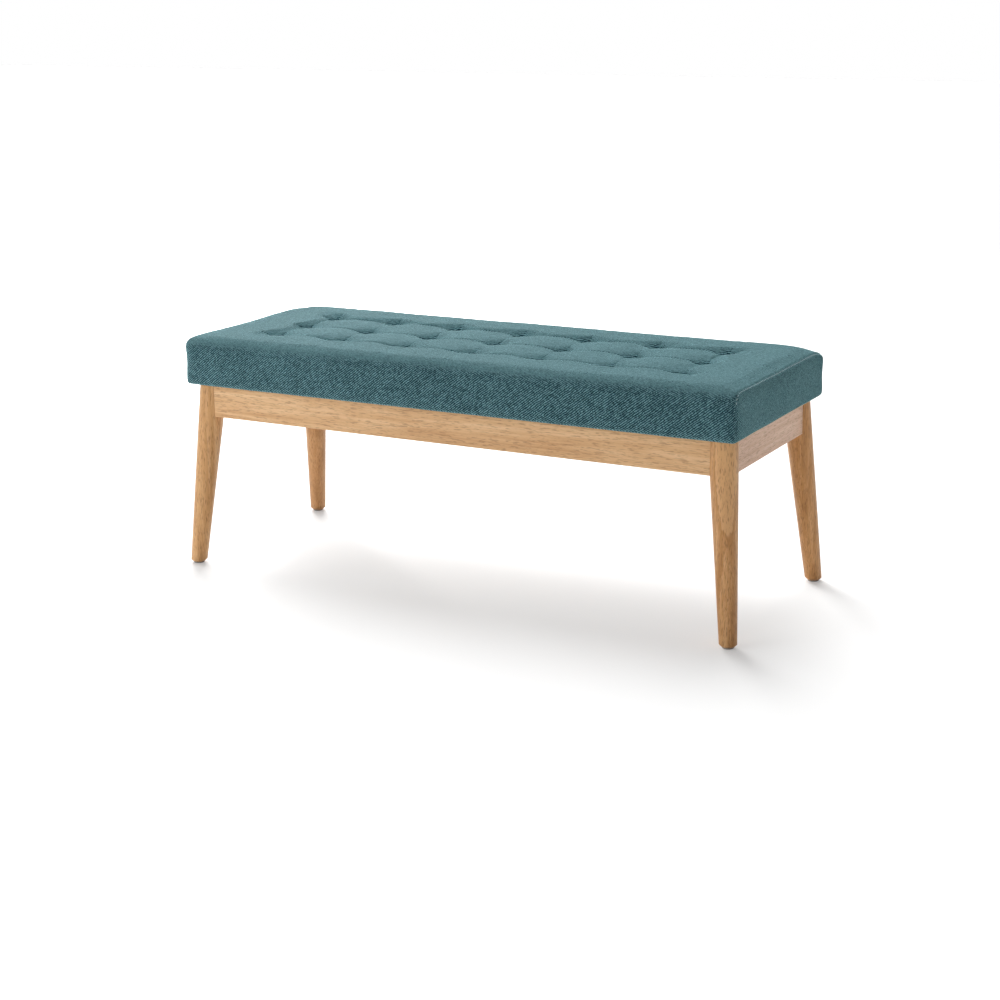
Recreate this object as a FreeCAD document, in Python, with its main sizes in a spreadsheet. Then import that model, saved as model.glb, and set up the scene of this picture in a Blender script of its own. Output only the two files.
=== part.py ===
import FreeCAD, Part
import Sketcher
import math
import os
import re

# An upholstered bench: a tufted cushion on a plywood board, carried by four rails and four
# splayed, tapered legs. Millimetres. +X runs along the bench, -Y is its front, +Z is up, and
# the origin is on the floor under the middle of the bench.

doc = FreeCAD.newDocument("UpholsteredBench")

# Driving sizes

SIZES = (
    # cushion
    ("seat_length", 1098.55),
    ("seat_depth", 406.4),
    ("seat_thickness", 89.9),
    ("overall_height", 431.8),
    ("edge_roll", 22),
    ("crown_drop", 4.5),
    ("crown_run", 45),
    ("swell_depth", 0.5),
    ("draw_in", 2),
    ("side_tuck", 2),
    ("cover_thickness", 1.2),
    ("wadding_thickness", 5),
    ("layer_gap", 0.4),
    ("flange_width", 50),
    # tufts
    ("tuft_columns", 7),
    ("tuft_rows", 3),
    ("tuft_end_margin", 142.8),
    ("tuft_side_margin", 108.2),
    ("tuft_depth", 14),
    ("tuft_half_width", 20),
    ("row_crease", 2.5),
    ("column_crease", 3),
    ("tie_diameter", 1.6),
    ("tie_hole_diameter", 2.4),
    ("stitch_diameter", 3.2),
    ("stitch_lift", 0.4),
    ("knot_diameter", 8),
    ("knot_height", 3),
    ("knot_bore_diameter", 11),
    ("knot_bore_depth", 4),
    # board, dust cover and staples
    ("board_thickness", 12),
    ("dust_cover_thickness", 0.6),
    ("dust_cover_margin", 12),
    ("staple_width", 10),
    ("staple_wire", 1),
    ("staple_crown", 0.5),
    ("staple_depth", 7),
    ("staple_slack", 0.1),
    ("cover_staple_inset", 25),
    ("cover_staple_pitch", 66),
    ("dust_staple_inset", 45),
    ("dust_staple_pitch", 88),
    # rails
    ("rail_height", 60),
    ("rail_thickness", 20),
    ("rail_round", 1.5),
    ("side_overhang", 17.7),
    ("end_overhang", 21.7),
    ("joint_gap", 0.4),
    ("cross_rail_width", 60),
    ("cross_rail_thickness", 18),
    ("dowel_diameter", 8),
    ("dowel_length", 32),
    ("dowel_in_rail", 12),
    ("dowel_spread", 15),
    # legs
    ("leg_top_diameter", 50.8),
    ("foot_diameter", 30.2),
    ("foot_chamfer", 3.5),
    ("foot_reach_end", 3.35),
    ("foot_reach_side", 12.9),
    ("leg_inset_end", 35.9),
    ("leg_inset_side", 32.3),
    ("leg_flat_end", 54.7),
    ("leg_flat_side", 53.2),
    ("leg_corner_flat", 6),
    ("leg_trim", 12),
    ("glide_diameter", 20),
    ("glide_thickness", 3),
    ("glide_round", 1),
    ("nail_diameter", 2.4),
    ("nail_length", 18),
    ("nail_seat", 1.2),
    # corner blocks and fasteners
    ("block_thickness", 26),
    ("block_standoff", 1.5),
    ("block_lift", 8),
    ("block_drop", 1),
    ("bolt_diameter", 8),
    ("bolt_hole_diameter", 9),
    ("bolt_in_leg", 30),
    ("bolt_edge", 18),
    ("bolt_tail", 4),
    ("washer_diameter", 20),
    ("washer_thickness", 1.6),
    ("nut_width", 13),
    ("nut_thickness", 6.5),
    ("screw_diameter", 4),
    ("screw_head_diameter", 8),
    ("screw_head_height", 2.4),
    ("block_screw_length", 30),
    ("block_screw_spread", 34),
    ("block_screw_edge", 16),
    ("seat_screw_bore_diameter", 11),
    ("seat_screw_bore_depth", 25),
    ("seat_screw_in_board", 8),
    ("seat_screw_set", 39),
    ("seat_screw_spread", 16),
    ("cross_screw_reach", 48),
    ("thread_gap", 0.1),
    ("blind_gap", 0.5),
)

# Places and sizes worked out from the driving sizes

LAYOUT = (
    ("half_length", "seat_length / 2"),
    ("half_depth", "seat_depth / 2"),
    ("rail_top", "overall_height - seat_thickness"),
    ("rail_bottom", "rail_top - rail_height"),
    ("cover_bottom", "rail_top + dust_cover_thickness"),
    ("board_bottom", "cover_bottom + cover_thickness"),
    ("board_top", "board_bottom + board_thickness"),
    ("wadding_inset", "cover_thickness + layer_gap"),
    ("wadding_lining", "wadding_inset + wadding_thickness"),
    ("foam_inset", "wadding_lining + layer_gap"),
    ("board_half_length", "half_length - foam_inset"),
    ("board_half_depth", "half_depth - foam_inset - side_tuck - draw_in"),
    ("tuft_pitch_long", "(seat_length - 2 * tuft_end_margin) / (tuft_columns - 1)"),
    ("tuft_pitch_deep", "(seat_depth - 2 * tuft_side_margin) / (tuft_rows - 1)"),
    ("long_face", "half_depth - side_overhang"),
    ("long_inner", "long_face - rail_thickness"),
    ("end_face", "half_length - end_overhang"),
    ("end_inner", "end_face - rail_thickness"),
    ("flat_x", "half_length - leg_flat_end"),
    ("flat_y", "half_depth - leg_flat_side"),
    ("leg_x", "half_length - leg_inset_end"),
    ("leg_y", "half_depth - leg_inset_side"),
    ("foot_x", "half_length + foot_reach_end - foot_diameter / 2"),
    ("foot_y", "half_depth + foot_reach_side - foot_diameter / 2"),
    ("lean_x", "(foot_x - leg_x) / (rail_bottom - glide_thickness)"),
    ("lean_y", "(foot_y - leg_y) / (rail_bottom - glide_thickness)"),
    ("lean", "sqrt(1 + lean_x^2 + lean_y^2)"),
    ("leg_height", "rail_top - glide_thickness"),
    ("leg_taper", "(leg_top_diameter - foot_diameter) / 2 / (leg_height * lean)"),
    ("leg_corner", "(end_inner - flat_x + long_inner - flat_y) / sqrt(2)"),
    ("bolt_face", "leg_corner - leg_corner_flat"),
    ("block_near", "leg_corner + block_standoff"),
    ("block_far", "block_near + block_thickness"),
    ("block_bottom", "rail_bottom + block_lift"),
    ("block_height", "rail_height - block_lift - block_drop"),
    ("bolt_end", "block_far + washer_thickness + nut_thickness + bolt_tail"),
    ("bolt_length", "bolt_end - bolt_face + bolt_in_leg"),
    ("seat_screw_head", "block_bottom + seat_screw_bore_depth"),
    ("seat_screw_length", "board_bottom + seat_screw_in_board - seat_screw_head"),
    ("cross_bottom", "rail_top - cross_rail_thickness"),
    ("cross_screw_length", "board_bottom + seat_screw_in_board - cross_bottom"),
)

sizes = doc.addObject("Spreadsheet::Sheet", "Sizes")
layout = doc.addObject("Spreadsheet::Sheet", "Layout")
SHEET_OF = {name: "Sizes" for name, value in SIZES}
SHEET_OF.update({name: "Layout" for name, rule in LAYOUT})
WORD = re.compile(r"\b[a-z][a-z_]*\b")


def spelled(rule):
    """Put the sheet's name in front of each size named in the rule."""
    return WORD.sub(lambda word: f"{SHEET_OF[word[0]]}.{word[0]}" if word[0] in SHEET_OF else word[0], rule)


for row, (name, value) in enumerate(SIZES, start=1):
    sizes.set(f"A{row}", name)
    sizes.set(f"B{row}", str(value))
    sizes.setAlias(f"B{row}", name)
for row, (name, rule) in enumerate(LAYOUT, start=1):
    layout.setAlias(f"B{row}", name)
for row, (name, rule) in enumerate(LAYOUT, start=1):
    layout.set(f"A{row}", name)
    layout.set(f"B{row}", "=" + spelled(rule))
doc.recompute()


def size(name):
    """The present value of a named size."""
    return float(doc.getObject(SHEET_OF[name]).get(name))


# Ways to make and place things

UP = ("0; 0; 1", "0")
OUT_TO_LEG = ("-1; 1; 0", "90")
OUT_TO_REAR = ("-1; 0; 0", "90")
ACROSS_CORNER = ("0; 0; 1", "225")
parts = {}


def bind(thing, **rules):
    for field, rule in rules.items():
        thing.setExpression(field, spelled(rule))


def place(thing, x, y, z, turn=UP):
    rule = f"placement(vector({x}; {y}; {z}); rotation(vector({turn[0]}); {turn[1]}))"
    thing.setExpression("Placement", spelled(rule))


def add(kind, label):
    thing = doc.addObject(kind, label)
    thing.Label = label
    return thing


def box(label, length, width, height, x, y, z, turn=UP):
    thing = add("Part::Box", label)
    bind(thing, Length=length, Width=width, Height=height)
    place(thing, x, y, z, turn)
    return thing


def rod(label, diameter, length, x, y, z, turn=UP):
    thing = add("Part::Cylinder", label)
    bind(thing, Radius=f"({diameter}) / 2", Height=length)
    place(thing, x, y, z, turn)
    return thing


def group(label, things):
    thing = add("Part::Compound", label)
    thing.Links = things
    return thing


def fused(label, things):
    thing = add("Part::MultiFuse", label)
    thing.Shapes = things
    return thing


def cut(label, base, tools):
    thing = add("Part::Cut", label)
    thing.Base = base
    thing.Tool = tools[0] if len(tools) == 1 else group(label + "_cuts", tools)
    return thing


def common(label, base, tool):
    thing = add("Part::Common", label)
    thing.Base = base
    thing.Tool = tool
    return thing


def mirror(label, source, normal):
    thing = add("Part::Mirroring", label)
    thing.Source = source
    thing.Base = (0, 0, 0)
    thing.Normal = normal
    return thing


def across_length(label, source):
    return mirror(label, source, (1, 0, 0))


def across_depth(label, source):
    return mirror(label, source, (0, 1, 0))


def four_corners(label, rear_right):
    """The piece at the rear right corner and its three mirror images."""
    rear_left = across_length(f"{label}_rear_left", rear_right)
    front_right = across_depth(f"{label}_front_right", rear_right)
    front_left = across_depth(f"{label}_front_left", rear_left)
    return {"rear_right": rear_right, "rear_left": rear_left,
            "front_right": front_right, "front_left": front_left}


def corner_nodes(label, rear_right):
    """Four nodes, one for each corner of the bench."""
    rear_right.Label = f"{label}_rear_right"
    for corner, thing in four_corners(label, rear_right).items():
        parts[f"{label}_{corner}"] = thing


def corner_group(label, things):
    """One node that holds the pieces of all four corners."""
    everywhere = []
    for thing in things:
        everywhere += four_corners(thing.Label, thing).values()
    parts[label] = group(label, everywhere)


def from_corner(inward, aside="0"):
    """Plan position at a distance inward from the inner corner of the rails, on its diagonal."""
    x = f"end_inner - (({inward}) + ({aside})) / sqrt(2)"
    y = f"long_inner - (({inward}) - ({aside})) / sqrt(2)"
    return x, y


def sketch_on(body, role, label):
    sketch = body.newObject("Sketcher::SketchObject", label)
    plane = [feature for feature in body.Origin.OriginFeatures if feature.Role == role][0]
    sketch.AttachmentSupport = [(plane, "")]
    sketch.MapMode = "FlatFace"
    return sketch


def dimension(sketch, name, rule, kind, *places):
    index = sketch.addConstraint(Sketcher.Constraint(kind, *places, 10.0))
    sketch.renameConstraint(index, name)
    sketch.setExpression(f"Constraints.{name}", spelled(rule))


def draw_rectangle(sketch, along_x, along_y):
    """A rectangle that is centred on the sketch's origin."""
    corners = [FreeCAD.Vector(x, y, 0) for x, y in ((-9, -5), (9, -5), (9, 5), (-9, 5))]
    for side in range(4):
        sketch.addGeometry(Part.LineSegment(corners[side], corners[(side + 1) % 4]), False)
    for side in range(4):
        sketch.addConstraint(Sketcher.Constraint("Coincident", side, 2, (side + 1) % 4, 1))
    for side, direction in enumerate(("Horizontal", "Vertical", "Horizontal", "Vertical")):
        sketch.addConstraint(Sketcher.Constraint(direction, side))
    sketch.addConstraint(Sketcher.Constraint("Symmetric", 0, 1, 1, 2, -1, 1))
    dimension(sketch, "along_x", along_x, "DistanceX", 0, 1, 0, 2)
    dimension(sketch, "along_y", along_y, "DistanceY", 1, 1, 1, 2)


def draw_circle(sketch, name, diameter, x, y):
    circle = Part.Circle(FreeCAD.Vector(3, 3, 0), FreeCAD.Vector(0, 0, 1), 1)
    index = sketch.addGeometry(circle, False)
    dimension(sketch, name + "_radius", f"({diameter}) / 2", "Radius", index)
    dimension(sketch, name + "_x", x, "DistanceX", -1, 1, index, 3)
    dimension(sketch, name + "_y", y, "DistanceY", -1, 1, index, 3)


def board(label, along_x, along_y, thickness, x, y, z):
    """A flat board as a padded sketch, centred in plan on x, y and standing on z."""
    body = add("PartDesign::Body", label)
    outline = sketch_on(body, "XY_Plane", label + "_outline")
    draw_rectangle(outline, along_x, along_y)
    pad = body.newObject("PartDesign::Pad", label + "_pad")
    pad.Profile = outline
    bind(pad, Length=thickness)
    place(body, x, y, z)
    doc.recompute()
    return body


def round_lower_edges(body, radius, shortest):
    """Round the long edges on the underside of a body."""
    below = body.Tip
    edges = [f"Edge{index}" for index, edge in enumerate(below.Shape.Edges, start=1)
             if abs(edge.BoundBox.ZMax) < 0.001 and edge.Length > shortest]
    fillet = body.newObject("PartDesign::Fillet", body.Label + "_round")
    fillet.Base = (below, edges)
    bind(fillet, Radius=radius)
    doc.recompute()


def bore(body, label, depth, circles):
    """Round holes from a body's underside: upwards by a depth, or through it."""
    sketch = sketch_on(body, "XY_Plane", label + "_circles")
    for index, (diameter, x, y) in enumerate(circles):
        draw_circle(sketch, f"hole{index}", diameter, x, y)
    doc.recompute()
    before = body.Shape.Volume
    pocket = body.newObject("PartDesign::Pocket", label)
    pocket.Profile = sketch
    pocket.Reversed = True
    if depth is None:
        pocket.Type = "ThroughAll"
    else:
        bind(pocket, Length=depth)
    doc.recompute()
    assert body.Shape.Volume < before, f"{label} removes nothing"


# Legs

def make_legs():
    taper = add("Part::Cone", "leg_taper")
    bind(taper,
         Radius1="foot_diameter / 2 - leg_taper * leg_trim",
         Radius2="leg_top_diameter / 2 + leg_taper * leg_trim",
         Height="leg_height * lean + 2 * leg_trim")
    place(taper,
          "foot_x + lean_x * leg_trim / lean",
          "foot_y + lean_y * leg_trim / lean",
          "glide_thickness - leg_trim / lean",
          ("lean_y; -lean_x; 0", "acos(1 / lean)"))
    # level cuts at the top and at the foot, with the chamfer round the foot
    level = add("Part::Cone", "leg_level_cuts")
    bind(level,
         Radius1="foot_diameter / 2 - foot_chamfer",
         Radius2="foot_diameter / 2 - foot_chamfer + leg_height",
         Height="leg_height")
    place(level, "foot_x", "foot_y", "glide_thickness")
    blank = common("leg_blank", taper, level)
    # flats that the ends of the long rail and the end rail butt on
    flat_height = "rail_height + joint_gap + leg_trim"
    flat_bottom = "rail_bottom - joint_gap"
    reach = "2 * leg_top_diameter"
    long_flat = box("leg_flat_for_long_rail", reach, f"2 * {reach}", flat_height,
                    f"flat_x - {reach}", f"leg_y - {reach}", flat_bottom)
    end_flat = box("leg_flat_for_end_rail", f"2 * {reach}", reach, flat_height,
                   f"leg_x - {reach}", f"flat_y - {reach}", flat_bottom)
    corner_x, corner_y = from_corner("bolt_face", "leg_top_diameter")
    corner_flat = box("leg_flat_for_bolts", reach, reach, flat_height,
                      corner_x, corner_y, flat_bottom, ACROSS_CORNER)
    start_x, start_y = from_corner("bolt_face + 1")
    bolt_holes = [rod(f"leg_bolt_hole_{name}", "bolt_diameter + 2 * thread_gap",
                      "bolt_in_leg + blind_gap + 1", start_x, start_y, height, OUT_TO_LEG)
                  for name, height in BOLT_HEIGHTS]
    nail_hole = rod("leg_nail_hole", "nail_diameter + 2 * thread_gap",
                    "nail_seat + nail_length + blind_gap", "foot_x", "foot_y", "0")
    leg = cut("leg", blank, [long_flat, end_flat, corner_flat, nail_hole] + bolt_holes)
    corner_nodes("leg", leg)


def make_glides():
    glide = add("PartDesign::Body", "foot_glide")
    outline = sketch_on(glide, "XY_Plane", "glide_outline")
    draw_circle(outline, "disc", "glide_diameter", "0", "0")
    pad = glide.newObject("PartDesign::Pad", "glide_disc")
    pad.Profile = outline
    bind(pad, Length="glide_thickness")
    place(glide, "foot_x", "foot_y", "0")
    doc.recompute()
    round_lower_edges(glide, "glide_round", 0)
    nail_hole = rod("glide_nail_hole", "nail_diameter + 2 * thread_gap", "glide_thickness",
                    "foot_x", "foot_y", "nail_seat")
    corner_nodes("foot_glide", cut("foot_glide_bored", glide, [nail_hole]))
    nail = rod("glide_nail", "nail_diameter", "nail_length", "foot_x", "foot_y", "nail_seat")
    corner_group("glide_nails", [nail])


# Rails

BOLT_HEIGHTS = (("low", "rail_bottom + bolt_edge"), ("high", "rail_top - bolt_edge"))
SCREW_HEIGHTS = (("low", "rail_bottom + block_screw_edge"), ("high", "rail_top - block_screw_edge"))


def block_screw_rods(label, diameter, side):
    """The shanks of the screws that hold a corner block, on one side of its bolts."""
    x, y = from_corner("block_far", f"{side} * block_screw_spread")
    return [rod(f"{label}_{name}", diameter, "block_screw_length + blind_gap",
                x, y, height, OUT_TO_LEG) for name, height in SCREW_HEIGHTS]


def dowel_rods(label, diameter, length, start):
    return [rod(f"{label}_{name}", diameter, length, f"{side} * dowel_spread", start,
                "cross_bottom + cross_rail_thickness / 2", OUT_TO_REAR)
            for name, side in (("left", -1), ("right", 1))]


def make_rails():
    rear = board("rear_rail_board", "2 * (flat_x - joint_gap)", "rail_thickness", "rail_height",
                 "0", "long_face - rail_thickness / 2", "rail_bottom")
    round_lower_edges(rear, "rail_round", size("rail_height"))
    screw_holes = block_screw_rods("rear_rail_screw_hole", "screw_diameter + 2 * thread_gap", 1)
    mirrored = [across_length(hole.Label + "_left", hole) for hole in screw_holes]
    dowel_holes = dowel_rods("rear_rail_dowel_hole", "dowel_diameter + 2 * thread_gap",
                             "dowel_in_rail + blind_gap + 1", "long_inner - 1")
    parts["rear_rail"] = cut("rear_rail", rear, screw_holes + mirrored + dowel_holes)
    parts["front_rail"] = across_depth("front_rail", parts["rear_rail"])

    right = board("right_end_rail_board", "rail_thickness", "2 * (flat_y - joint_gap)",
                  "rail_height", "end_face - rail_thickness / 2", "0", "rail_bottom")
    round_lower_edges(right, "rail_round", size("rail_height"))
    screw_holes = block_screw_rods("end_rail_screw_hole", "screw_diameter + 2 * thread_gap", -1)
    mirrored = [across_depth(hole.Label + "_front", hole) for hole in screw_holes]
    parts["right_end_rail"] = cut("right_end_rail", right, screw_holes + mirrored)
    parts["left_end_rail"] = across_length("left_end_rail", parts["right_end_rail"])


def make_cross_rail():
    cross = board("cross_rail_board", "cross_rail_width", "2 * long_inner",
                  "cross_rail_thickness", "0", "0", "cross_bottom")
    round_lower_edges(cross, "rail_round", size("cross_rail_width") + 1)
    bore(cross, "cross_rail_screw_holes", None,
         [("screw_diameter + 2 * thread_gap", "0", f"{side} * cross_screw_reach")
          for side in (-1, 1)])
    depth_in_cross = "dowel_length - dowel_in_rail + blind_gap"
    holes = dowel_rods("cross_rail_dowel_hole", "dowel_diameter + 2 * thread_gap",
                       f"{depth_in_cross} + 1", f"long_inner - ({depth_in_cross})")
    holes += [across_depth(hole.Label + "_front", hole) for hole in holes]
    parts["centre_cross_rail"] = cut("centre_cross_rail", cross, holes)
    dowels = dowel_rods("rear_dowel", "dowel_diameter", "dowel_length",
                        "long_inner + dowel_in_rail - dowel_length")
    dowels += [across_depth(dowel.Label + "_front", dowel) for dowel in dowels]
    parts["cross_rail_dowels"] = group("cross_rail_dowels", dowels)


# Corner blocks and their fasteners

def make_corner_blocks():
    x, y = from_corner("block_near", "block_far")
    slab = box("corner_block_slab", "block_thickness", "2 * block_far", "block_height",
               x, y, "block_bottom", ACROSS_CORNER)
    inside = box("inside_of_rails", "end_inner", "long_inner", "rail_height",
                 "0", "0", "rail_bottom")
    blank = common("corner_block_blank", slab, inside)
    x, y = from_corner("block_far + 1")
    holes = [rod(f"block_bolt_hole_{name}", "bolt_hole_diameter", "block_thickness + 2",
                 x, y, height, OUT_TO_LEG) for name, height in BOLT_HEIGHTS]
    for name, side in (("x", 1), ("y", -1)):
        holes += block_screw_rods(f"block_screw_hole_{name}", "screw_diameter + 2 * thread_gap", side)
    x, y = from_corner("seat_screw_set", "seat_screw_spread")
    holes.append(rod("block_seat_screw_hole", "screw_diameter + 2 * thread_gap", "rail_height",
                     x, y, "rail_bottom"))
    holes.append(rod("block_seat_screw_bore", "seat_screw_bore_diameter",
                     "block_lift + seat_screw_bore_depth", x, y, "rail_bottom"))
    corner_nodes("corner_block", cut("corner_block", blank, holes))


def make_hanger_bolts():
    bolts, washers, nuts = [], [], []
    for name, height in BOLT_HEIGHTS:
        x, y = from_corner("bolt_end")
        bolts.append(rod(f"hanger_bolt_{name}", "bolt_diameter", "bolt_length",
                         x, y, height, OUT_TO_LEG))
        x, y = from_corner("block_far + washer_thickness")
        disc = rod(f"washer_disc_{name}", "washer_diameter", "washer_thickness",
                   x, y, height, OUT_TO_LEG)
        hole = rod(f"washer_hole_{name}", "bolt_diameter + 2 * thread_gap", "washer_thickness",
                   x, y, height, OUT_TO_LEG)
        washers.append(cut(f"washer_{name}", disc, [hole]))
        x, y = from_corner("block_far + washer_thickness + nut_thickness")
        hexagon = add("Part::Prism", f"nut_hexagon_{name}")
        hexagon.Polygon = 6
        bind(hexagon, Circumradius="nut_width / sqrt(3)", Height="nut_thickness")
        place(hexagon, x, y, height, OUT_TO_LEG)
        hole = rod(f"nut_hole_{name}", "bolt_diameter + 2 * thread_gap", "nut_thickness",
                   x, y, height, OUT_TO_LEG)
        nuts.append(cut(f"nut_{name}", hexagon, [hole]))
    corner_group("hanger_bolts", bolts)
    corner_group("hanger_bolt_washers", washers)
    corner_group("hanger_bolt_nuts", nuts)


def make_screws():
    block_screws = []
    for name, side in (("x", 1), ("y", -1)):
        for level, height in SCREW_HEIGHTS:
            x, y = from_corner("block_far", f"{side} * block_screw_spread")
            shank = rod(f"block_screw_shank_{name}_{level}", "screw_diameter",
                        "block_screw_length", x, y, height, OUT_TO_LEG)
            x, y = from_corner("block_far + screw_head_height", f"{side} * block_screw_spread")
            head = rod(f"block_screw_head_{name}_{level}", "screw_head_diameter",
                       "screw_head_height", x, y, height, OUT_TO_LEG)
            block_screws.append(fused(f"block_screw_{name}_{level}", [shank, head]))
    corner_group("corner_block_screws", block_screws)

    x, y = from_corner("seat_screw_set", "seat_screw_spread")
    shank = rod("seat_screw_shank", "screw_diameter", "seat_screw_length", x, y, "seat_screw_head")
    head = rod("seat_screw_pan", "screw_head_diameter", "screw_head_height",
               x, y, "seat_screw_head - screw_head_height")
    seat_screw = fused("seat_screw", [shank, head])
    shank = rod("cross_screw_shank", "screw_diameter", "cross_screw_length",
                "0", "cross_screw_reach", "cross_bottom")
    head = rod("cross_screw_pan", "screw_head_diameter", "screw_head_height",
               "0", "cross_screw_reach", "cross_bottom - screw_head_height")
    cross_screw = fused("cross_screw", [shank, head])
    screws = list(four_corners("seat_screw", seat_screw).values())
    screws += [cross_screw, across_depth("cross_screw_front", cross_screw)]
    parts["seat_screws"] = group("seat_screws", screws)


# Staples, which lie in rows along the edges of the seat

def staple_places(inset, pitch, end_room):
    """Plan positions and directions of a row of staples round the seat."""
    half_x = size("half_length") - size(inset)
    half_y = size("half_depth") - size(inset)
    long_run = 2 * (half_x - end_room)
    deep_run = 2 * (half_y - end_room)
    along = max(2, round(long_run / size(pitch)) + 1)
    across = max(2, round(deep_run / size(pitch)) + 1)
    places = []
    for side in (-1, 1):
        for index in range(along):
            places.append((long_run * (index / (along - 1) - 0.5), side * half_y, 0))
        for index in range(across):
            places.append((side * half_x, deep_run * (index / (across - 1) - 0.5), 90))
    return places


def staple_shape(slack):
    """A staple with its crown on the origin's level and its legs upwards."""
    wide = size("staple_width")
    wire = size("staple_wire")
    crown = size("staple_crown")
    crown_box = Part.makeBox(wide + 2 * slack, wire + 2 * slack, crown + slack,
                             FreeCAD.Vector(-wide / 2 - slack, -wire / 2 - slack, 0))
    legs = []
    for side in (-1, 1):
        middle = side * (wide - crown) / 2
        legs.append(Part.makeBox(crown + 2 * slack, wire + 2 * slack, size("staple_depth") + slack,
                                 FreeCAD.Vector(middle - crown / 2 - slack, -wire / 2 - slack, 0)))
    return crown_box.fuse(legs).removeSplitter()


def staple_row(label, shape, places, z):
    thing = add("Part::Feature", label)
    staples = []
    for x, y, angle in places:
        staple = shape.copy()
        staple.rotate(FreeCAD.Vector(0, 0, 0), FreeCAD.Vector(0, 0, 1), angle)
        staple.translate(FreeCAD.Vector(x, y, z))
        staples.append(staple)
    thing.Shape = Part.makeCompound(staples)
    return thing


def make_staples():
    slack = size("staple_slack")
    flange_room = size("flange_width") + size("staple_width")
    rows = {}
    for name, inset, pitch, room, z in (
            ("cover", "cover_staple_inset", "cover_staple_pitch",
             flange_room - size("cover_staple_inset"), size("cover_bottom")),
            ("dust_cover", "dust_staple_inset", "dust_staple_pitch",
             2 * size("staple_width"), size("rail_top"))):
        places = staple_places(inset, pitch, room)
        parts[f"{name}_staples"] = staple_row(f"{name}_staples", staple_shape(0), places, z)
        rows[name] = staple_row(f"{name}_staple_slots", staple_shape(slack), places, z)
    return rows


# Seat board and dust cover

def tuft_rules():
    """The plan position of each tuft, as rules."""
    columns = int(size("tuft_columns"))
    rows = int(size("tuft_rows"))
    return [(f"({column} - (tuft_columns - 1) / 2) * tuft_pitch_long",
             f"({row} - (tuft_rows - 1) / 2) * tuft_pitch_deep")
            for column in range(columns) for row in range(rows)]


def seat_screw_rules():
    x, y = from_corner("seat_screw_set", "seat_screw_spread")
    corners = [(f"{side} * ({x})", f"{end} * ({y})") for side in (-1, 1) for end in (-1, 1)]
    return corners + [("0", "cross_screw_reach"), ("0", "-cross_screw_reach")]


def make_seat_board(slots):
    plate = board("seat_board_plate", "2 * board_half_length", "2 * board_half_depth",
                  "board_thickness", "0", "0", "board_bottom")
    bore(plate, "tie_holes", None, [("tie_hole_diameter", x, y) for x, y in tuft_rules()])
    bore(plate, "knot_bores", "knot_bore_depth",
         [("knot_bore_diameter", x, y) for x, y in tuft_rules()])
    bore(plate, "seat_screw_holes", "seat_screw_in_board + blind_gap",
         [("screw_diameter + 2 * thread_gap", x, y) for x, y in seat_screw_rules()])
    parts["seat_board"] = cut("seat_board", plate, [slots["cover"], slots["dust_cover"]])


def make_dust_cover(slots):
    sheet = board("dust_cover_sheet", "seat_length - 2 * dust_cover_margin",
                  "seat_depth - 2 * dust_cover_margin", "dust_cover_thickness",
                  "0", "0", "rail_top")
    bore(sheet, "dust_cover_screw_holes", None,
         [("screw_diameter + 2 * blind_gap", x, y) for x, y in seat_screw_rules()])
    parts["dust_cover"] = cut("dust_cover", sheet, [slots["dust_cover"]])


# Cushion

def rise(distance, run):
    """From 1 at an edge to 0 at the end of the run, level where it ends."""
    return 1 - math.sin(min(distance / run, 1) * math.pi / 2)


def tuft_columns():
    pitch = size("tuft_pitch_long")
    count = int(size("tuft_columns"))
    return [(index - (count - 1) / 2) * pitch for index in range(count)]


def section_stations(end):
    """Where along the bench the cushion's sections stand, each with its two depths below the
    crown: that of the tuft rows and that of the swells between them."""
    width = size("tuft_half_width")
    crease = size("row_crease")
    columns = tuft_columns()
    stations = []
    for column in columns:
        beside = (crease + size("tuft_depth") * 0.2, size("swell_depth") + size("column_crease") / 3)
        stations.append((column - width, *beside))
        stations.append((column, size("tuft_depth"), size("swell_depth") + size("column_crease")))
        stations.append((column + width, *beside))
    for left, right in zip(columns, columns[1:]):
        stations.append(((left + right) / 2, crease, size("swell_depth")))
    last = columns[-1] + width
    run_start = size("half_length") - size("crown_run")
    for distance, depth in ((end, crease / 3), (size("half_length") - size("crown_run") / 3, crease / 2),
                            (run_start, crease), ((last + run_start) / 2, crease)):
        stations += [(distance, depth, size("swell_depth")), (-distance, depth, size("swell_depth"))]
    return sorted(stations)


def arc(first, middle, last):
    return Part.Arc(*(FreeCAD.Vector(*point) for point in (first, middle, last))).toShape()


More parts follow.
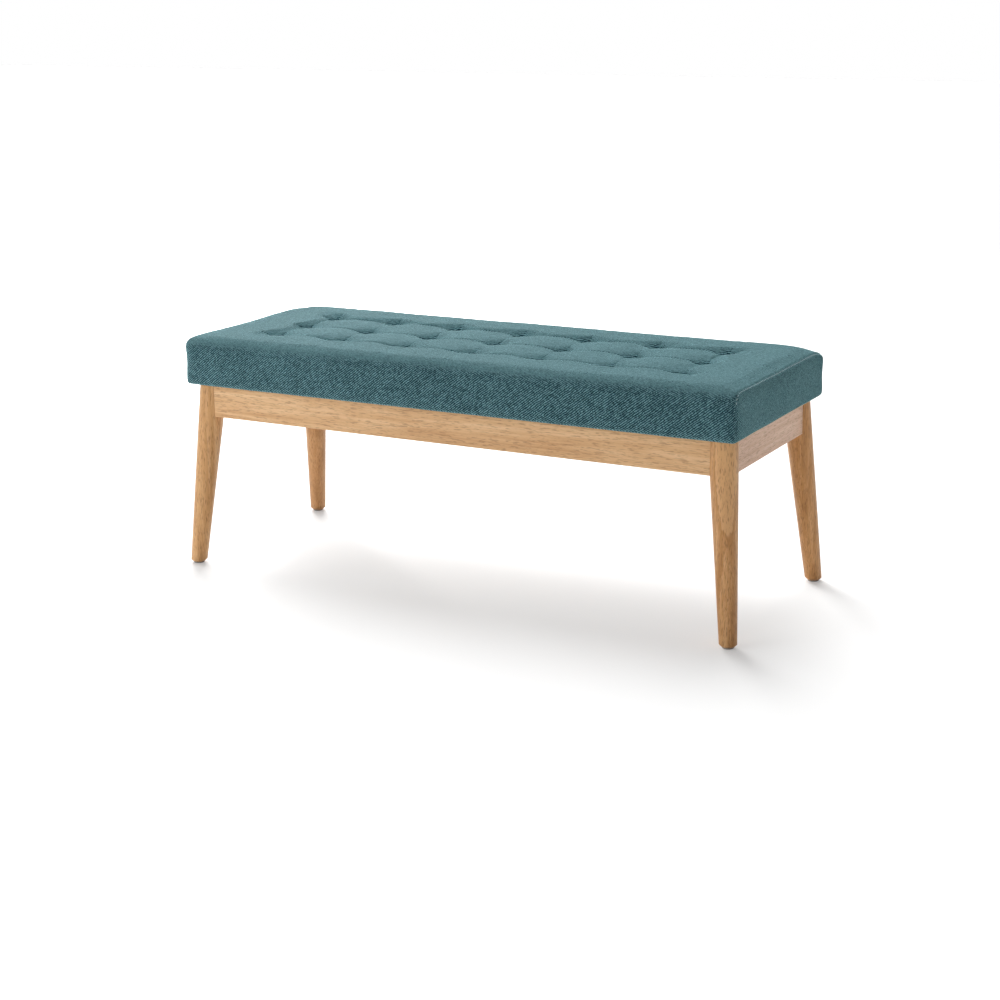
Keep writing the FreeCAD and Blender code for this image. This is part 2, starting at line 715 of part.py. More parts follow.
def cushion_section(x, row_depth, swell_depth, inset):
    """One cross section of the cushion, all lines and arcs, inset from its surface."""
    half_length = size("half_length")
    roll = size("edge_roll")
    half = size("half_depth") - inset - size("draw_in") * (1 - (x / half_length) ** 2)
    top = size("overall_height") - inset
    fall = size("crown_drop") * rise(half_length - abs(x), size("crown_run"))
    bottom = size("cover_bottom")
    roll_start = size("overall_height") - size("crown_drop") - roll
    roll_top = size("overall_height") - size("crown_drop") - inset
    roll_inner = half + inset - roll
    radius = roll - inset
    tuck = half - size("side_tuck")
    side_middle = (bottom + roll_start) / 2
    lean_in = radius * (1 - math.cos(math.pi / 4))
    row_pitch = size("tuft_pitch_deep")
    row_count = int(size("tuft_rows"))
    knots = [(-roll_inner, roll_top)]
    for row in range(row_count):
        knots.append(((row - (row_count - 1) / 2) * row_pitch, top - fall - row_depth))
    knots.append((roll_inner, roll_top))
    front_corner = (x, -tuck, bottom)
    rear_corner = (x, tuck, bottom)
    edges = [Part.LineSegment(FreeCAD.Vector(*rear_corner), FreeCAD.Vector(*front_corner)).toShape()]
    edges.append(arc(front_corner, (x, -half + 0.25 * size("side_tuck"), side_middle),
                     (x, -half, roll_start)))
    edges.append(arc((x, -half, roll_start), (x, -half + lean_in, roll_top - lean_in),
                     (x, -roll_inner, roll_top)))
    for (y_left, z_left), (y_right, z_right) in zip(knots, knots[1:]):
        swell = max(top - fall - swell_depth, (z_left + z_right) / 2 + 0.5)
        edges.append(arc((x, y_left, z_left), (x, (y_left + y_right) / 2, swell),
                         (x, y_right, z_right)))
    edges.append(arc((x, roll_inner, roll_top), (x, half - lean_in, roll_top - lean_in),
                     (x, half, roll_start)))
    edges.append(arc((x, half, roll_start), (x, half - 0.25 * size("side_tuck"), side_middle),
                     rear_corner))
    return Part.Wire(edges)


def cushion_form(inset, bottom):
    """The cushion's body with its crown, rolled edges and tufts, inset from the surface and
    cut level at the bottom."""
    end = size("half_length") - inset
    wires = [cushion_section(x, row_depth, swell_depth, inset)
             for x, row_depth, swell_depth in section_stations(end)]
    form = Part.makeLoft(wires, True, False)
    if bottom > size("cover_bottom"):
        below = Part.makeBox(2.2 * end, 2 * size("seat_depth"), size("seat_thickness"),
                             FreeCAD.Vector(-1.1 * end, -size("seat_depth"),
                                            bottom - size("seat_thickness")))
        form = form.cut(below)
    return form


def tuft_points():
    row_pitch = size("tuft_pitch_deep")
    row_count = int(size("tuft_rows"))
    return [(x, (row - (row_count - 1) / 2) * row_pitch)
            for x in tuft_columns() for row in range(row_count)]


def tie_hole_tools():
    radius = size("tie_hole_diameter") / 2
    return Part.makeCompound([
        Part.makeCylinder(radius, size("seat_thickness"), FreeCAD.Vector(x, y, size("board_top")))
        for x, y in tuft_points()])


def feature(label, shape):
    thing = add("Part::Feature", label)
    thing.Shape = shape
    return thing


def slab(x_from, x_to, half_y, z_from, z_to):
    return Part.makeBox(x_to - x_from, 2 * half_y, z_to - z_from,
                        FreeCAD.Vector(x_from, -half_y, z_from))


def make_padding():
    ties = tie_hole_tools()
    foam = cushion_form(size("foam_inset"), size("board_top")).cut(ties)
    parts["foam_pad"] = feature("foam_pad", foam)
    outside = cushion_form(size("wadding_inset"), size("board_bottom"))
    lining = cushion_form(size("wadding_lining"), size("cover_bottom"))
    parts["wadding_wrap"] = feature("wadding_wrap", outside.cut(lining).cut(ties))


def make_cover(slots):
    bottom = size("cover_bottom")
    inside_bottom = size("board_bottom")
    top = size("overall_height") + size("tuft_depth")
    half = size("half_length")
    wide = size("seat_depth")
    seam = half - size("cover_thickness") - size("layer_gap")
    flange_x = half - size("flange_width")
    flange_y = size("half_depth") - size("flange_width")
    shell = cushion_form(0, bottom).cut(cushion_form(size("cover_thickness"), inside_bottom))
    slot_shape = Part.makeCompound([slots["cover"].Shape, slots["dust_cover"].Shape])

    window = slab(-half, half, flange_y, bottom - 1, inside_bottom)
    middle = shell.common(slab(-seam, seam, wide, bottom - 1, top)).cut(window)
    middle = middle.cut(tie_hole_tools()).cut(slot_shape)
    parts["cover_main_panel"] = feature("cover_main_panel", middle)

    end_sheet = shell.common(slab(seam, half + 1, wide, bottom - 1, top))
    end_flange = slab(flange_x, seam, flange_y - size("layer_gap"), bottom, inside_bottom)
    end_panel = end_sheet.fuse(end_flange).removeSplitter().cut(slot_shape)
    parts["cover_end_right"] = feature("cover_end_right", end_panel)
    parts["cover_end_left"] = across_length("cover_end_left", parts["cover_end_right"])


def make_ties():
    """One length of twine at each tuft: its stitch, its run down and its knot."""
    ties = []
    surface = size("overall_height") - size("tuft_depth")
    knot_top = size("board_bottom") + size("knot_bore_depth")
    stitch_radius = size("stitch_diameter") / 2
    stitch_height = surface + size("stitch_lift") + stitch_radius
    for x, y in tuft_points():
        run = Part.makeCylinder(size("tie_diameter") / 2, stitch_height - knot_top,
                                FreeCAD.Vector(x, y, knot_top))
        knot = Part.makeCylinder(size("knot_diameter") / 2, size("knot_height"),
                                 FreeCAD.Vector(x, y, knot_top - size("knot_height")))
        stitch = Part.makeSphere(stitch_radius, FreeCAD.Vector(x, y, stitch_height))
        ties.append(run.fuse([knot, stitch]))
    parts["tuft_ties"] = feature("tuft_ties", Part.makeCompound(ties))


# Build

make_legs()
make_glides()
make_rails()
make_cross_rail()
make_corner_blocks()
make_hanger_bolts()
make_screws()
staple_slots = make_staples()
make_seat_board(staple_slots)
make_dust_cover(staple_slots)
make_padding()
make_cover(staple_slots)
make_ties()
doc.recompute()

for thing in doc.Objects:
    assert "Invalid" not in thing.State and "Error" not in thing.State, f"{thing.Label} failed"
for name, thing in parts.items():
    thing.Label = name
    shape = thing.Shape
    assert not shape.isNull() and shape.isValid(), f"{name} has no valid shape"
    assert shape.Solids, f"{name} has no solid"

os.makedirs("parts", exist_ok=True)
for name, thing in parts.items():
    thing.Shape.exportStep(f"parts/{name}.step")

whole = Part.makeCompound([thing.Shape for thing in parts.values()])
bounds = whole.BoundBox
print(len(parts), "parts,", len(whole.Solids), "solids")
print("box", [round(value, 2) for value in (bounds.XMin, bounds.XMax, bounds.YMin, bounds.YMax,
                                            bounds.ZMin, bounds.ZMax)])
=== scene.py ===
import math

import bmesh
import bpy
import numpy as np
from mathutils import Matrix, Vector


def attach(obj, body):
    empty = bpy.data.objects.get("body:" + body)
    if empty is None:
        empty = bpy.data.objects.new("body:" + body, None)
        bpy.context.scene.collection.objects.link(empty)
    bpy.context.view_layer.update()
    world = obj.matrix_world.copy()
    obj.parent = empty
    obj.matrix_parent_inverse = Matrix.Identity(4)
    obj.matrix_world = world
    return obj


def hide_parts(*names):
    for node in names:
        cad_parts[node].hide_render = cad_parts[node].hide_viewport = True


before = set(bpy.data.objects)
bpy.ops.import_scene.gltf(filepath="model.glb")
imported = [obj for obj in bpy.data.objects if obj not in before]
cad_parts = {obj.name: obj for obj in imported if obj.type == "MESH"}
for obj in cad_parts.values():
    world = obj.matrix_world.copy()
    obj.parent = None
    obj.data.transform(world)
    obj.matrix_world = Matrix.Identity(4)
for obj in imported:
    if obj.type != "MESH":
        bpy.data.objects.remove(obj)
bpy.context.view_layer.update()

# The looks of an upholstered bench: a tufted cushion in teal twill on a light wood frame.
# Metres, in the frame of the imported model: +X along the bench, -Y its front, +Z up.

MM = 0.001


# Camera

def place_camera(azimuth, elevation, roll, distance, target, focal):
    """A camera on a ball round the target. The focal length is in image widths."""
    a, e, r = (math.radians(angle) for angle in (azimuth, elevation, roll))
    back = Vector((math.sin(a) * math.cos(e), -math.cos(a) * math.cos(e), math.sin(e)))
    side = Vector((math.cos(a), math.sin(a), 0))
    above = back.cross(side)
    right = side * math.cos(r) + above * math.sin(r)
    upward = above * math.cos(r) - side * math.sin(r)
    data = bpy.data.cameras.new("camera")
    data.sensor_width = 36
    data.lens = 36 * focal
    data.clip_end = 60
    camera = bpy.data.objects.new("camera", data)
    bpy.context.collection.objects.link(camera)
    turn = Matrix((right, upward, back)).transposed().to_4x4()
    camera.matrix_world = Matrix.Translation(Vector(target) + back * distance) @ turn
    bpy.context.scene.camera = camera


place_camera(azimuth=29.006, elevation=15.476, roll=-0.842, distance=3.6067,
             target=(0.0033, 0, 0.1362), focal=1.96888)


# Materials

def paint(code):
    """An sRGB hex colour as linear values."""
    channels = [int(code[start:start + 2], 16) / 255 for start in (1, 3, 5)]
    return [c / 12.92 if c <= 0.04045 else ((c + 0.055) / 1.055) ** 2.4 for c in channels] + [1]


def add(tree, kind, inputs=(), stops=(), **settings):
    """One node with its settings. Each input is given by its name or number: a value or a socket.
    The stops of a colour ramp are pairs of a place and a hex colour."""
    made = tree.nodes.new("ShaderNode" + kind)
    for name, value in settings.items():
        setattr(made, name, value)
    for name, value in dict(inputs).items():
        if isinstance(value, bpy.types.NodeSocket):
            tree.links.new(value, made.inputs[name])
        else:
            made.inputs[name].default_value = value
    if stops:
        band = made.color_ramp.elements
        band.remove(band[-1])
        band[0].position, band[0].color = stops[0][0], paint(stops[0][1])
        for place, code in stops[1:]:
            band.new(place).color = paint(code)
    return made


def start_material(name):
    """A material with only a Principled shader: the material, its nodes and the shader's inputs."""
    material = bpy.data.materials.new(name)
    material.use_nodes = True
    tree = material.node_tree
    tree.nodes.clear()
    surface = add(tree, "BsdfPrincipled")
    add(tree, "OutputMaterial", {"Surface": surface.outputs["BSDF"]})
    return material, tree, surface.inputs


RIB_PITCH = 3.4 * MM     # of the twill's diagonal ribs, about twice as coarse as they are
YARN_PITCH = 2.3 * MM    # of the floats along a rib


def teal_twill():
    """Teal polyester twill woven from chunky two-tone yarn. The eye gets diagonal ribs, light
    flecks where a pale yarn floats on top, and a pale bloom where the cloth is seen at a low angle.
    The ribs and floats are drawn coarser than they are, so that they show."""
    material, tree, shader = start_material("teal_twill")
    place = add(tree, "UVMap", uv_map="cloth").outputs["UV"]
    turned = add(tree, "Mapping", {"Vector": place, "Rotation": (0, 0, math.radians(-37))})
    split = add(tree, "SeparateXYZ", {"Vector": turned.outputs[0]}).outputs
    wobble = add(tree, "TexNoise", {"Vector": place, "Scale": 110, "Detail": 2}).outputs["Fac"]
    rib_at = add(tree, "Math", {0: split["Y"], 1: 1 / RIB_PITCH}, operation="MULTIPLY").outputs[0]
    rib_at = add(tree, "Math", {0: wobble, 1: rib_at}, operation="ADD").outputs[0]
    rib_number = add(tree, "Math", {0: rib_at}, operation="FLOOR").outputs[0]
    yarn_at = add(tree, "Math", {0: split["X"], 1: 1 / YARN_PITCH}, operation="MULTIPLY").outputs[0]
    yarn_at = add(tree, "Math", {0: rib_number, 1: 0.37, 2: yarn_at}, operation="MULTIPLY_ADD")
    yarn_number = add(tree, "Math", {0: yarn_at.outputs[0]}, operation="FLOOR").outputs[0]
    cell = add(tree, "CombineXYZ", {"X": rib_number, "Y": yarn_number}).outputs[0]
    fleck = add(tree, "TexWhiteNoise", {"Vector": cell}, noise_dimensions="2D").outputs["Value"]
    rib = add(tree, "Math", {0: rib_at, 1: 0.5}, operation="PINGPONG").outputs[0]
    rib = add(tree, "MapRange", {"Value": rib, "From Max": 0.5}, interpolation_type="SMOOTHSTEP")
    yarn = add(tree, "Math", {0: yarn_at.outputs[0], 1: 0.5}, operation="PINGPONG").outputs[0]
    yarn = add(tree, "MapRange", {"Value": yarn, "From Max": 0.3}, interpolation_type="SMOOTHSTEP")
    height = add(tree, "Math", {0: rib.outputs[0], 1: yarn.outputs[0]}, operation="MULTIPLY")
    height = add(tree, "Math", {0: rib.outputs[0], 1: 0.8, 2: height.outputs[0]},
                 operation="MULTIPLY_ADD").outputs[0]
    drift = add(tree, "TexNoise", {"Vector": place, "Scale": 11, "Detail": 3}).outputs["Fac"]
    tone = add(tree, "Math", {0: height, 1: 0.40}, operation="MULTIPLY").outputs[0]
    tone = add(tree, "Math", {0: drift, 1: 0.12, 2: tone}, operation="MULTIPLY_ADD").outputs[0]
    tone = add(tree, "Math", {0: fleck, 1: 0.40, 2: tone}, operation="MULTIPLY_ADD").outputs[0]
    tint = add(tree, "ValToRGB", {"Fac": tone}, stops=[(0.14, "#12292F"), (0.42, "#2A4D56"),
                                                       (0.68, "#446F78"), (0.93, "#8CB6BD")])
    tree.links.new(tint.outputs["Color"], shader["Base Color"])
    bump = add(tree, "Bump", {"Height": height, "Strength": 0.75, "Distance": 0.0017})
    tree.links.new(bump.outputs[0], shader["Normal"])
    shader["Roughness"].default_value = 0.9
    shader["Specular IOR Level"].default_value = 0.1
    shader["Sheen Weight"].default_value = 1.0
    shader["Sheen Roughness"].default_value = 0.25
    shader["Sheen Tint"].default_value = paint("#B4F0F6")
    return material


LEAN = (-0.055, -0.064, 0)    # the front right leg's splay, radians about X and Y


def wood(name, dark, middle, light, along, pore="#80552D", seed=0.0, roughness=0.42, pores=0.45,
         flame=None):
    """Planed hardwood. The eye gets soft bands along the grain and short dark pores that follow it.
    The pores are drawn about 1 mm wide, wider than they are, so that they show. A flame is the
    pale pointed figure where the surface cuts a growth ring: its middle and its half sizes. It
    leans with the leg."""
    material, tree, shader = start_material(name)
    spot = add(tree, "TexCoord").outputs["Object"]
    place = add(tree, "Mapping", {"Vector": spot,
                                  "Location": (seed, 0.7 * seed, 1.3 * seed)}).outputs[0]

    def grain(across, length, detail, distortion=0.0):
        scale = [1 / across] * 3
        scale[along] = 1 / length
        at = add(tree, "Mapping", {"Vector": place, "Scale": scale}).outputs[0]
        return add(tree, "TexNoise", {"Vector": at, "Scale": 1, "Detail": detail, "Roughness": 0.6,
                                      "Distortion": distortion}).outputs["Fac"]

    bands = grain(0.016, 0.28, 4, 0.8)
    fibres = grain(0.0016, 0.07, 2)
    specks = grain(0.0016, 0.013, 1)
    specks = add(tree, "MapRange", {"Value": specks, "From Min": 0.53, "From Max": 0.68}).outputs[0]
    tone = add(tree, "Math", {0: fibres, 1: 0.4, 2: bands}, operation="MULTIPLY_ADD").outputs[0]
    tone = add(tree, "MapRange", {"Value": tone, "From Min": 0.45, "From Max": 0.95}).outputs[0]
    tint = add(tree, "ValToRGB", {"Fac": tone},
               stops=[(0.1, dark), (0.5, middle), (0.9, light)]).outputs["Color"]
    if flame:
        at = add(tree, "Mapping", {"Vector": spot, "Location": flame[0], "Scale": flame[1],
                                   "Rotation": LEAN}, vector_type="TEXTURE").outputs[0]
        ring = add(tree, "VectorMath", {0: at}, operation="LENGTH").outputs["Value"]
        ring = add(tree, "Math", {0: bands, 1: 0.7, 2: ring}, operation="MULTIPLY_ADD").outputs[0]
        inner = add(tree, "MapRange", {"Value": ring, "From Min": 1.36, "From Max": 1.28,
                                       "To Max": 0.75}).outputs[0]
        tint = add(tree, "Mix", {0: inner, 6: tint, 7: paint(light)}, data_type="RGBA").outputs[2]
        rim = add(tree, "Math", {0: ring, 1: 1.36, 2: 0.05}, operation="COMPARE").outputs[0]
        rim = add(tree, "Math", {0: rim, 1: 0.35}, operation="MULTIPLY").outputs[0]
        tint = add(tree, "Mix", {0: rim, 6: tint, 7: paint(dark)}, data_type="RGBA").outputs[2]
    amount = add(tree, "Math", {0: specks, 1: pores}, operation="MULTIPLY").outputs[0]
    tint = add(tree, "Mix", {0: amount, 6: tint, 7: paint(pore)}, data_type="RGBA").outputs[2]
    tree.links.new(tint, shader["Base Color"])
    height = add(tree, "Math", {0: specks, 1: -0.7, 2: fibres}, operation="MULTIPLY_ADD")
    bump = add(tree, "Bump", {"Height": height.outputs[0], "Strength": 0.2, "Distance": 0.0003})
    tree.links.new(bump.outputs[0], shader["Normal"])
    shader["Roughness"].default_value = roughness
    shader["Specular IOR Level"].default_value = 0.4
    return material


def plywood():
    """Poplar plywood, rotary cut and sanded. The eye gets wide flame bands on the faces and thin
    layers on the edges, 1.7 mm each."""
    material, tree, shader = start_material("poplar_plywood")
    place = add(tree, "TexCoord").outputs["Object"]
    wide = add(tree, "Mapping", {"Vector": place, "Scale": (3, 26, 26)}).outputs[0]
    flame = add(tree, "TexNoise", {"Vector": wide, "Scale": 1, "Detail": 5, "Distortion": 1.5})
    tint = add(tree, "ValToRGB", {"Fac": flame.outputs["Fac"]},
               stops=[(0.3, "#C9A876"), (0.5, "#DABD8F"), (0.7, "#E4CDA5")]).outputs["Color"]
    split = add(tree, "SeparateXYZ", {"Vector": place}).outputs["Z"]
    layer = add(tree, "Math", {0: split, 1: 1 / 0.0034}, operation="MULTIPLY").outputs[0]
    layer = add(tree, "Math", {0: layer}, operation="FRACT").outputs[0]
    layer = add(tree, "MapRange", {"Value": layer, "From Min": 0.45, "From Max": 0.55}).outputs[0]
    normal = add(tree, "SeparateXYZ", {"Vector": add(tree, "NewGeometry").outputs["Normal"]})
    flat = add(tree, "Math", {0: normal.outputs["Z"]}, operation="ABSOLUTE").outputs[0]
    edge = add(tree, "MapRange", {"Value": flat, "From Min": 0.5, "From Max": 0.2}).outputs[0]
    amount = add(tree, "Math", {0: layer, 1: edge}, operation="MULTIPLY").outputs[0]
    tint = add(tree, "Mix", {0: amount, 6: tint, 7: paint("#A07B4C")}, data_type="RGBA")
    tree.links.new(tint.outputs[2], shader["Base Color"])
    shader["Roughness"].default_value = 0.7
    return material


def metal(name, tone, worn, roughness):
    """Plated or drawn steel. The eye gets a grey shine with fine drawing marks and dull patches."""
    material, tree, shader = start_material(name)
    place = add(tree, "TexCoord").outputs["Object"]
    marks = add(tree, "TexNoise", {"Vector": place, "Scale": 1500, "Detail": 2}).outputs["Fac"]
    patches = add(tree, "TexNoise", {"Vector": place, "Scale": 140, "Detail": 3}).outputs["Fac"]
    tint = add(tree, "ValToRGB", {"Fac": patches}, stops=[(0.35, worn), (0.6, tone)])
    tree.links.new(tint.outputs["Color"], shader["Base Color"])
    rough = add(tree, "MapRange", {"Value": patches, "To Min": roughness + 0.1,
                                   "To Max": roughness - 0.1}).outputs[0]
    tree.links.new(rough, shader["Roughness"])
    bump = add(tree, "Bump", {"Height": marks, "Strength": 0.15, "Distance": 0.00005})
    tree.links.new(bump.outputs[0], shader["Normal"])
    shader["Metallic"].default_value = 1
    return material


def glide_nylon():
    """Moulded grey nylon. The eye gets a dull, even skin with scuffs from the floor."""
    material, tree, shader = start_material("moulded_nylon")
    place = add(tree, "TexCoord").outputs["Object"]
    scuffs = add(tree, "TexNoise", {"Vector": place, "Scale": 400, "Detail": 4}).outputs["Fac"]
    tint = add(tree, "ValToRGB", {"Fac": scuffs}, stops=[(0.35, "#8A867F"), (0.65, "#A29E96")])
    tree.links.new(tint.outputs["Color"], shader["Base Color"])
    bump = add(tree, "Bump", {"Height": scuffs, "Strength": 0.3, "Distance": 0.0001})
    tree.links.new(bump.outputs[0], shader["Normal"])
    shader["Roughness"].default_value = 0.55
    return material


def tuft_twine():
    """Waxed nylon twine. The eye gets a dark cord with a twist every 2 mm."""
    material, tree, shader = start_material("waxed_twine")
    place = add(tree, "TexCoord").outputs["Object"]
    twist = add(tree, "TexWave", {"Vector": place, "Scale": 80, "Distortion": 1},
                bands_direction="DIAGONAL").outputs["Fac"]
    tint = add(tree, "ValToRGB", {"Fac": twist}, stops=[(0.2, "#26383D"), (0.8, "#3E585F")])
    tree.links.new(tint.outputs["Color"], shader["Base Color"])
    bump = add(tree, "Bump", {"Height": twist, "Strength": 0.4, "Distance": 0.0002})
    tree.links.new(bump.outputs[0], shader["Normal"])
    shader["Roughness"].default_value = 0.6
    return material


def dust_cloth():
    """Black spun-bonded polypropylene. The eye gets a matt felt with thin and thick clouds and the
    grid of bonding points, drawn 2.4 mm apart, twice as coarse as they are."""
    material, tree, shader = start_material("spunbond_cloth")
    place = add(tree, "TexCoord").outputs["Object"]
    clouds = add(tree, "TexNoise", {"Vector": place, "Scale": 60, "Detail": 5}).outputs["Fac"]
    dots = add(tree, "TexVoronoi", {"Vector": place, "Scale": 1 / 0.0024, "Randomness": 0.0},
               voronoi_dimensions="2D").outputs["Distance"]
    dots = add(tree, "MapRange", {"Value": dots, "From Min": 0.15, "From Max": 0.4}).outputs[0]
    tint = add(tree, "ValToRGB", {"Fac": clouds}, stops=[(0.3, "#161616"), (0.7, "#2A2A2B")])
    tree.links.new(tint.outputs["Color"], shader["Base Color"])
    bump = add(tree, "Bump", {"Height": dots, "Strength": 0.35, "Distance": 0.0002})
    tree.links.new(bump.outputs[0], shader["Normal"])
    shader["Roughness"].default_value = 0.85
    return material


def seam_thread():
    """Bonded polyester sewing thread, paler than the cloth. The eye gets small bright dashes."""
    material, tree, shader = start_material("sewing_thread")
    place = add(tree, "TexCoord").outputs["Object"]
    fuzz = add(tree, "TexNoise", {"Vector": place, "Scale": 900, "Detail": 1}).outputs["Fac"]
    tint = add(tree, "ValToRGB", {"Fac": fuzz}, stops=[(0.3, "#A9D2D8"), (0.7, "#D9F3F5")])
    tree.links.new(tint.outputs["Color"], shader["Base Color"])
    shader["Roughness"].default_value = 0.6
    return material


def dress(nodes, material):
    """Gives CAD nodes a material."""
    for name in nodes:
        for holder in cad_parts[name].material_slots:
            holder.material = material


twill = teal_twill()
CORNERS = ("front_left", "front_right", "rear_left", "rear_right")
# Each leg's own wood tone, dark to light, differing from board to board. The rear left leg's tones
# are made darker still: painted shade that offsets the light of the rear soft box on that leg.
LEG_TONES_AND_SHADE = {"front_left": ("#B5844F", "#C6955F", "#D5A976"),
             "rear_left": ("#9F703F", "#B07F4D", "#C19462"),
             "front_right": ("#AC7740", "#C18C54", "#D9A974"),
             "rear_right": ("#A4713C", "#B8834B", "#CB9962")}
FLAMES = {"front_right": ((0.524, -0.194, 0.31), (0.019, 0.03, 0.118))}    # middle, half sizes
for number, (corner, tones) in enumerate(LEG_TONES_AND_SHADE.items()):
    dress(["leg_" + corner], wood("lacquered_leg_wood_and_painted_shade_" + corner, *tones, along=2, pores=0.6,
                                  seed=0.31 * (number + 1), flame=FLAMES.get(corner)))
dress(["front_rail", "rear_rail"], wood("lacquered_rail_wood", "#C39362", "#D4A878", "#E1BA8C",
                                        along=0, seed=0.2))
# The end rails take a paler, greyer and pinker copy of the rail wood: that difference is painted
# glare of the lacquer on the ends.
dress(["left_end_rail", "right_end_rail"], wood("lacquered_end_rail_wood_and_glare", "#BC9270", "#CBA487",
                                                "#D9B79B", along=1, seed=1.4))
dress(["corner_block_" + corner for corner in CORNERS],
      wood("raw_block_wood", "#BF9A68", "#CFAC7B", "#DDBF92", along=0, roughness=0.75))
dress(["centre_cross_rail"], wood("raw_cross_rail_wood", "#BF9A68", "#CFAC7B", "#DDBF92", along=1,
                                  roughness=0.75, seed=0.8))
dress(["cross_rail_dowels"], wood("beech_dowel_wood", "#C79A6B", "#D3AC80", "#DFBE95", along=1,
                                  roughness=0.7, seed=0.5))
dress(["seat_board"], plywood())
dress(["hanger_bolts", "hanger_bolt_washers", "hanger_bolt_nuts"],
      metal("zinc_plated_steel", "#C9CCD0", "#A9ADB2", 0.32))
dress(["corner_block_screws", "seat_screws"],
      metal("yellow_zinc_steel", "#CDB476", "#A8905A", 0.35))
dress(["cover_staples", "dust_cover_staples"],
      metal("drawn_staple_wire", "#BFC1C4", "#96999D", 0.38))
dress(["glide_nails"], metal("bright_nail_steel", "#B9BABC", "#8E9093", 0.4))
dress(["foot_glide_" + corner for corner in CORNERS], glide_nylon())
dress(["tuft_ties"], tuft_twine())


# Cushion

HALF_LENGTH = 548.2 * MM
HALF_DEPTH = 203.2 * MM
BOTTOM, TOP = 342.6 * MM, 430.6 * MM
ROLL = 22 * MM          # radius of the rolled long edges
SEAM_ROUND = 10 * MM    # radius across the end seams along the top
CORNER_ROUND = 18 * MM  # radius across the end seams down the corners
UNDER_ROUND = 5 * MM    # radius of the lower edges
TUFT_COLUMNS = [(i - 3) * 135.492 * MM for i in range(7)]
TUFT_ROWS = [-95 * MM, 0.0, 95 * MM]
TUFT_FLOOR = 418.2 * MM     # about where the pits end, over the tufts' twine
PRESSURE = 4.0              # of the stuffing on the cloth
FRAMES = 20                 # steps until the stuffed cloth rests


def smooth(value):
    """0 below 0, 1 above 1, and an S-curve between."""
    value = np.clip(value, 0, 1)
    return value * value * (3 - 2 * value)


def crowd(places, knots, cells, pull=0.55):
    """Even places from -1 to 1 as lengths between the knots, closer together beside each knot."""
    steps = (places + 1) / 2 * cells * (len(knots) - 1)
    span = np.minimum((steps / cells + 1e-6).astype(int), len(knots) - 2)
    part = steps / cells - span
    part = part - pull * np.sin(2 * np.pi * part) / (2 * np.pi)
    knots = np.array(knots)
    return knots[span] + part * (knots[span + 1] - knots[span])


def outline(y, z, inset):
    """The cushion's cross-section: points of a square frame moved to the rounded outline, and in by
    the inset."""
    radius = np.where(z > (BOTTOM + TOP) / 2, ROLL, UNDER_ROUND)
    core_y = np.clip(y, -HALF_DEPTH + radius, HALF_DEPTH - radius)
    core_z = np.clip(z, BOTTOM + radius, TOP - radius)
    out_y, out_z = y - core_y, z - core_z
    length = np.maximum(np.hypot(out_y, out_z), 1e-9)
    scale = (radius - inset) / length
    return core_y + out_y * scale, core_z + out_z * scale


def seam_radius(y, z):
    """The radius across the end seam near a point: tight along the top, wider down the corners."""
    down = smooth((TOP - z - HALF_DEPTH + np.abs(y) + 8 * MM) / (40 * MM))
    down = down * smooth((z - BOTTOM) / (40 * MM))
    return SEAM_ROUND + (CORNER_ROUND - SEAM_ROUND) * down


def end_panel(y, z):
    """Points of an end panel spread evenly inside the rounded outline."""
    across = (y + HALF_DEPTH) / (2 * HALF_DEPTH)
    upward = (z - BOTTOM) / (TOP - BOTTOM)
    edges = {}
    for name, at in {"low": (y, BOTTOM), "high": (y, TOP), "front": (-HALF_DEPTH, z),
                     "back": (HALF_DEPTH, z), "a": (-HALF_DEPTH, BOTTOM), "b": (HALF_DEPTH, BOTTOM),
                     "c": (-HALF_DEPTH, TOP), "d": (HALF_DEPTH, TOP)}.items():
        y_at, z_at = at[0] + 0 * y, at[1] + 0 * z
        rim = seam_radius(y_at, z_at) * (1 - math.cos(math.pi / 4))
        edges[name] = np.array(outline(y_at, z_at, rim))
    both = (1 - upward) * edges["low"] + upward * edges["high"]
    both = both + (1 - across) * edges["front"] + across * edges["back"]
    both = both - (1 - upward) * ((1 - across) * edges["a"] + across * edges["b"])
    return both - upward * ((1 - across) * edges["c"] + across * edges["d"])


def depth_inside(y, z):
    """How far a point of an end panel lies inside the rounded outline."""
    radius = np.where(z > (BOTTOM + TOP) / 2, ROLL, UNDER_ROUND)
    gap_y = np.abs(y) - (HALF_DEPTH - radius)
    gap_z = np.abs(z - (BOTTOM + TOP) / 2) - ((TOP - BOTTOM) / 2 - radius)
    outside = np.hypot(np.maximum(gap_y, 0), np.maximum(gap_z, 0))
    return radius - outside - np.minimum(np.maximum(gap_y, gap_z), 0)


def upholstered_form(flat):
    """The stuffed box before its tufts are pulled. The flat places are those on the plain box."""
    x, y, z = flat.T
    side = np.sign(x)
    far = np.abs(x)
    radius = seam_radius(y, z)
    core = HALF_LENGTH - radius
    turn = np.clip((far - core) / radius, 0, 1) * math.pi / 4
    wrap_x = np.minimum(far, core) + radius * np.sin(turn)
    wrap_y, wrap_z = outline(y, z, radius * (1 - np.cos(turn)))
    cap_y, cap_z = end_panel(y, z)
    inside = np.minimum(depth_inside(cap_y, cap_z), radius)
    cap_x = core + np.sqrt(np.maximum(radius ** 2 - (radius - inside) ** 2, 0))
    cap = far > HALF_LENGTH - 1e-6
    x = side * np.where(cap, cap_x, wrap_x)
    y = np.where(cap, cap_y, wrap_y)
    z = np.where(cap, cap_z, wrap_z)
    return np.stack([x, y, z], axis=1)


